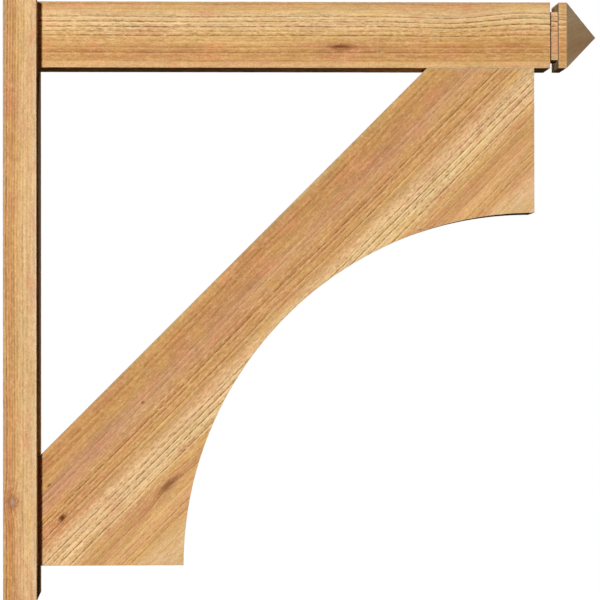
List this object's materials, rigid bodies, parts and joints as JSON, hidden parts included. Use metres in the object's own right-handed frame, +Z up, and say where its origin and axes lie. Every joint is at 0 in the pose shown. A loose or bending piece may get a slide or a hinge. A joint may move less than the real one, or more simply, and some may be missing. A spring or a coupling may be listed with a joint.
{
  "type": "gable outlooker",
  "caption": "Rough-sawn cedar gable outlooker: wide wall post, square beam with a grooved pyramid point, and a heavy brace with a concave quarter-round underside.",
  "frame": {"origin": "middle of the post's face that lies against the wall", "axes": "+X out from the wall along the beam, +Z up, Y across the bracket"},
  "size_m": [0.8125, 0.195, 0.813],
  "materials": {
    "post_cedar": "matte",
    "beam_cedar": "matte",
    "brace_cedar": "matte",
    "screw_steel": "satin"
  },
  "bodies": {
    "root": {"wall_post": "post_cedar", "outlooker_beam": "beam_cedar", "curved_brace": "brace_cedar", "beam_end_screws": "screw_steel", "brace_foot_screws": "screw_steel", "brace_head_screws": "screw_steel"}
  },
  "joints": []
}
